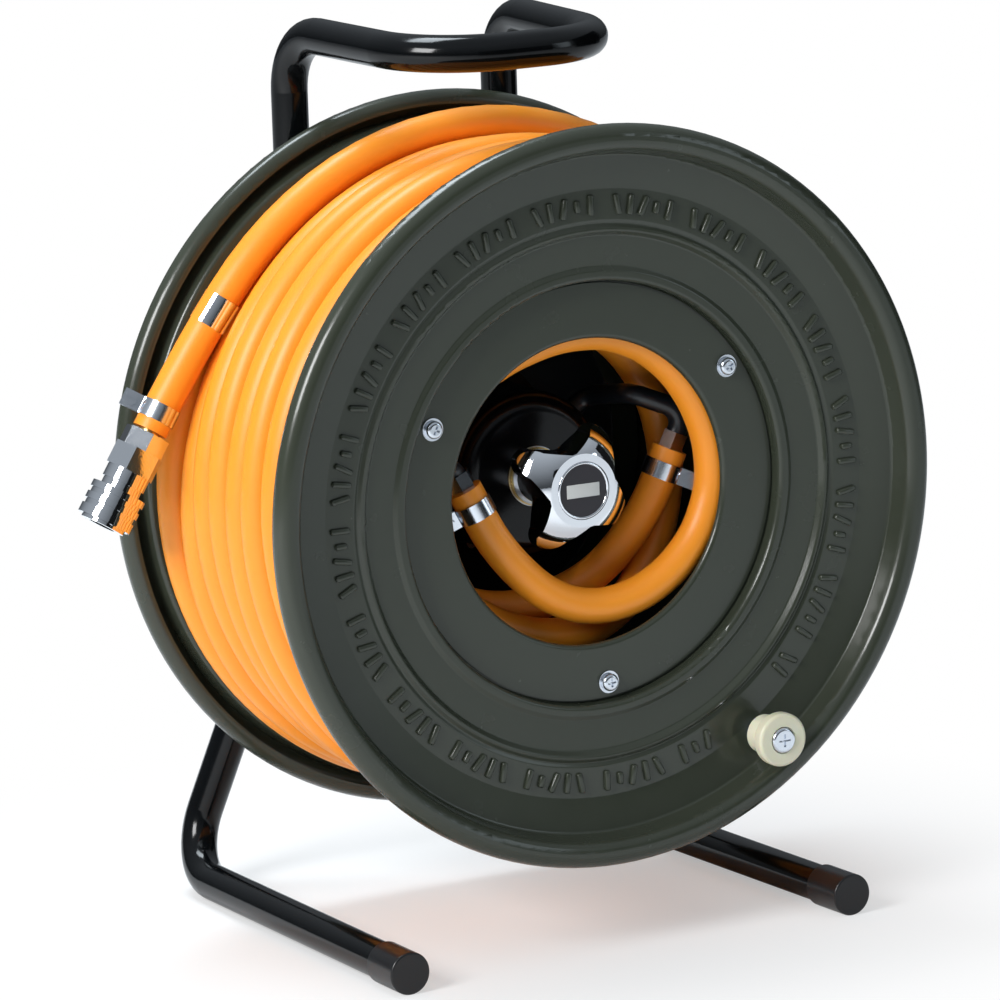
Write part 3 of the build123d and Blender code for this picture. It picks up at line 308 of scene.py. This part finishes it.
drum_paint = finish("drum_paint", (0.036, 0.042, 0.029), 0.26, coat=0.2, specular=0.4, fine=700, bump=0.12)
frame_paint = finish("frame_paint", (0.002, 0.0025, 0.003), 0.14, bump=0.04, specular=0.3)
cap_plastic = finish("cap_plastic", (0.008, 0.008, 0.009), 0.3, fine=1400, bump=0.15)
hub_paint = finish("hub_paint", (0.009, 0.012, 0.016), 0.35, coat=0.15)
housing_paint = finish("housing_paint", (0.002, 0.002, 0.0025), 0.2, specular=0.3)
turned_steel = finish("turned_steel", (0.52, 0.53, 0.55), 0.32, metallic=1.0, bump=0.1)
zinc_plate = finish("zinc_plate", (0.72, 0.76, 0.82), 0.2, metallic=1.0, bump=0.08)
chrome_plate = finish("chrome_plate", (0.86, 0.88, 0.92), 0.05, metallic=1.0, variation=0.02, spread=0.03)
turned_brass = finish("turned_brass", (0.65, 0.45, 0.16), 0.28, metallic=1.0)
hose_rubber = finish(
    "hose_rubber", (0.93, 0.31, 0.018), 0.42, fine=500, bump=0.06, variation=0.06, subsurface=0.08
)
seal_rubber = finish("seal_rubber", (0.015, 0.015, 0.015), 0.6)
knob_plastic = finish("knob_plastic", (0.76, 0.73, 0.55), 0.3, subsurface=0.2, variation=0.05)
badge_face = finish("badge_face", (0.02, 0.017, 0.022), 0.35)

by_slot = {
    "frame_paint": frame_paint,
    "bracket_paint": frame_paint,
    "cap_plastic": cap_plastic,
    "drum_paint": drum_paint,
    "hub_paint": hub_paint,
    "housing_paint": housing_paint,
    "steel": turned_steel,
    "zinc": zinc_plate,
    "chrome": chrome_plate,
    "brass": turned_brass,
    "hose_rubber": hose_rubber,
    "seal_rubber": seal_rubber,
    "knob_plastic": knob_plastic,
    "badge": badge_face,
}
for part in frame["record"]["subparts"]:
    mesh = nodes[part["node"]].data
    mesh.materials.clear()
    mesh.materials.append(by_slot[part["material_slot"]])
main_hose.data.materials.append(hose_rubber)

# ---------------------------------------------------------------------
# Pressed relief round the drum's face, and the badge's rim and panel
# ---------------------------------------------------------------------
RELIEF_STEP = 3.0           # degrees from one rib to the next
RIB_WIDTH = 2.8
RIB_HEIGHT = 2.8
RELIEF_RADIUS = 132.6
RELIEF_DEPTH = 8.8
RIB_LENGTHS = (9.6, 5.8, 9.6, 9.6, 9.6)
RIB_SLANTS = (0, 0, 16, 0, -16)
CRANK_ANGLE = 303.6
CRANK_CLEAR = 9.0           # degrees left bare on each side of the crank
BADGE_RIM_RADIUS = 12.7
BADGE_RIM_WIRE = 0.7
BADGE_PANEL = (17.0, 0.6, 6.2)


def block(centre, turn, size):
    """A box about a centre, turned about the axle's direction; size across, deep and high in mm."""
    bpy.ops.mesh.primitive_cube_add(size=1)
    piece = bpy.context.active_object
    scale = Matrix.Diagonal((*(side / 1000 for side in size), 1))
    spin = Matrix.Rotation(math.radians(turn), 4, "Y")
    piece.data.transform(Matrix.Translation(centre) @ spin @ scale)
    return piece


def round_off(piece, width, segments):
    """Bevels a piece's edges and smooths it."""
    bpy.context.view_layer.objects.active = piece
    bevel = piece.modifiers.new("round", "BEVEL")
    bevel.width = width / 1000
    bevel.segments = segments
    bpy.ops.object.modifier_apply(modifier=bevel.name)
    bpy.ops.object.shade_smooth()


def add_relief():
    """Evenly repeated ribs, five to a group and a gap after each."""
    ribs = []
    for n in range(round(360 / RELIEF_STEP)):
        angle = n * RELIEF_STEP
        place = n % (len(RIB_LENGTHS) + 1)
        if place == len(RIB_LENGTHS) or abs(angle - CRANK_ANGLE) < CRANK_CLEAR:
            continue
        centre = ring_spot(RELIEF_RADIUS, angle, RELIEF_DEPTH)
        size = (RIB_WIDTH, RIB_HEIGHT, RIB_LENGTHS[place])
        ribs.append(block(centre, 90 - angle + RIB_SLANTS[place], size))
    bpy.ops.object.select_all(action="DESELECT")
    for rib in ribs:
        rib.select_set(True)
    bpy.context.view_layer.objects.active = ribs[0]
    bpy.ops.object.join()
    relief = bpy.context.active_object
    relief.name = "face_relief"
    round_off(relief, 1.0, 3)
    relief.data.materials.append(drum_paint)
    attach(relief, "drum")


def add_badge():
    """Bright rim and a bare pale panel on the knob's badge."""
    low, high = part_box("knob_badge")
    centre = (low + high) / 2
    front = Vector((centre.x, low.y, centre.z))
    bpy.ops.mesh.primitive_torus_add(
        major_radius=BADGE_RIM_RADIUS / 1000, minor_radius=BADGE_RIM_WIRE / 1000,
        major_segments=72, minor_segments=12,
    )
    rim = bpy.context.active_object
    rim.name = "badge_rim"
    rim.data.transform(Matrix.Translation(front) @ Matrix.Rotation(math.radians(90), 4, "X"))
    bpy.ops.object.shade_smooth()
    rim.data.materials.append(chrome_plate)
    panel = block(front, 0, BADGE_PANEL)
    panel.name = "badge_panel"
    round_off(panel, 0.15, 2)
    panel.data.materials.append(panel_face)
    for piece in (rim, panel):
        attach(piece, "brake_knob")


panel_face = finish("panel_face", (0.62, 0.62, 0.60), 0.4, variation=0.04)
add_relief()
add_badge()

# ---------------------------------------------------------------------
# Floor, backdrop and light
# ---------------------------------------------------------------------


def add_floor():
    """White floor: bare white in view away from the reel, shaded close to it."""
    bpy.ops.mesh.primitive_plane_add(size=14, location=(0, 2, 0))
    floor = bpy.context.active_object
    floor.name = "floor"
    material = bpy.data.materials.new("floor")
    material.use_nodes = True
    n, link = material.node_tree.nodes, material.node_tree.links.new
    shader = n["Principled BSDF"]
    shader.inputs["Base Color"].default_value = (0.92, 0.92, 0.92, 1)
    shader.inputs["Roughness"].default_value = 0.9
    shader.inputs["Specular IOR Level"].default_value = 0.1
    white = n.new("ShaderNodeEmission")
    white.inputs["Color"].default_value = (1, 1, 1, 1)
    place = n.new("ShaderNodeTexCoord")
    away = n.new("ShaderNodeVectorMath")
    away.operation = "DISTANCE"
    away.inputs[1].default_value = (0, -2, 0)
    link(place.outputs["Object"], away.inputs[0])
    fade = n.new("ShaderNodeMapRange")
    fade.interpolation_type = "SMOOTHSTEP"
    fade.inputs["From Min"].default_value = 0.05
    fade.inputs["From Max"].default_value = 0.36
    fade.inputs["To Min"].default_value = 0.35
    link(away.outputs["Value"], fade.inputs["Value"])
    paths = n.new("ShaderNodeLightPath")
    seen = n.new("ShaderNodeMath")
    seen.operation = "MULTIPLY"
    link(fade.outputs["Result"], seen.inputs[0])
    link(paths.outputs["Is Camera Ray"], seen.inputs[1])
    mix = n.new("ShaderNodeMixShader")
    link(seen.outputs[0], mix.inputs[0])
    link(shader.outputs[0], mix.inputs[1])
    link(white.outputs[0], mix.inputs[2])
    link(mix.outputs[0], n["Material Output"].inputs["Surface"])
    floor.data.materials.append(material)


def add_card(name, place, aim, size, shade):
    """A plain card out of view, for the bright parts to mirror."""
    bpy.ops.mesh.primitive_plane_add(size=1)
    card = bpy.context.active_object
    card.name = name
    turn = (aim - place).to_track_quat("Z", "Y").to_matrix().to_4x4()
    card.data.transform(Matrix.Translation(place) @ turn @ Matrix.Diagonal((*size, 1, 1)))
    material = bpy.data.materials.new(name)
    material.use_nodes = True
    shader = material.node_tree.nodes["Principled BSDF"]
    shader.inputs["Base Color"].default_value = (shade, shade, shade, 1)
    shader.inputs["Roughness"].default_value = 0.9
    shader.inputs["Specular IOR Level"].default_value = 0.0
    card.data.materials.append(material)
    card.visible_camera = False


def add_world():
    """White to the eye, and a soft grey sky that darkens downwards for the light."""
    world = bpy.data.worlds.new("studio")
    bpy.context.scene.world = world
    world.use_nodes = True
    n, link = world.node_tree.nodes, world.node_tree.links.new
    background = n["Background"]
    paths = n.new("ShaderNodeLightPath")
    place = n.new("ShaderNodeTexCoord")
    split = n.new("ShaderNodeSeparateXYZ")
    link(place.outputs["Generated"], split.inputs[0])
    ramp = n.new("ShaderNodeValToRGB")
    ramp.color_ramp.elements[0].position = 0.0
    ramp.color_ramp.elements[0].color = (0.05, 0.055, 0.06, 1)
    ramp.color_ramp.elements[1].position = 0.75
    ramp.color_ramp.elements[1].color = (0.40, 0.44, 0.48, 1)
    link(split.outputs["Z"], ramp.inputs[0])
    mix = n.new("ShaderNodeMix")
    mix.data_type = "RGBA"
    mix.inputs[7].default_value = (1, 1, 1, 1)
    link(ramp.outputs["Color"], mix.inputs[6])
    link(paths.outputs["Is Camera Ray"], mix.inputs[0])
    link(mix.outputs[2], background.inputs["Color"])
    background.inputs["Strength"].default_value = 1.0


def add_light(name, place, aim, size, energy, colour=(1, 1, 1)):
    data = bpy.data.lights.new(name, "AREA")
    data.shape = "RECTANGLE"
    data.size, data.size_y = size
    data.energy = energy
    data.color = colour
    light = bpy.data.objects.new(name, data)
    turn = (aim - place).to_track_quat("-Z", "Y").to_matrix().to_4x4()
    light.matrix_world = Matrix.Translation(place) @ turn
    bpy.context.scene.collection.objects.link(light)


add_floor()
add_world()
middle = Vector((0, 0, AXLE_Z))
add_light("key", Vector((-2.1, -0.7, 1.4)), middle, (0.9, 0.9), 52)
add_light("fill", Vector((1.6, -1.6, 0.7)), middle, (0.5, 0.9), 3, (0.8, 0.92, 1.0))
add_card("dark_card_front", Vector((0.5, -2.6, 0.3)), middle, (2.2, 1.6), 0.01)
add_card("dark_card_right", Vector((1.9, -0.3, 0.4)), middle, (1.6, 1.8), 0.01)
add_light("top", Vector((-0.2, 0.5, 1.9)), middle, (1.0, 0.5), 22, (0.85, 0.94, 1.0))

scene = bpy.context.scene
scene.view_settings.view_transform = "Standard"
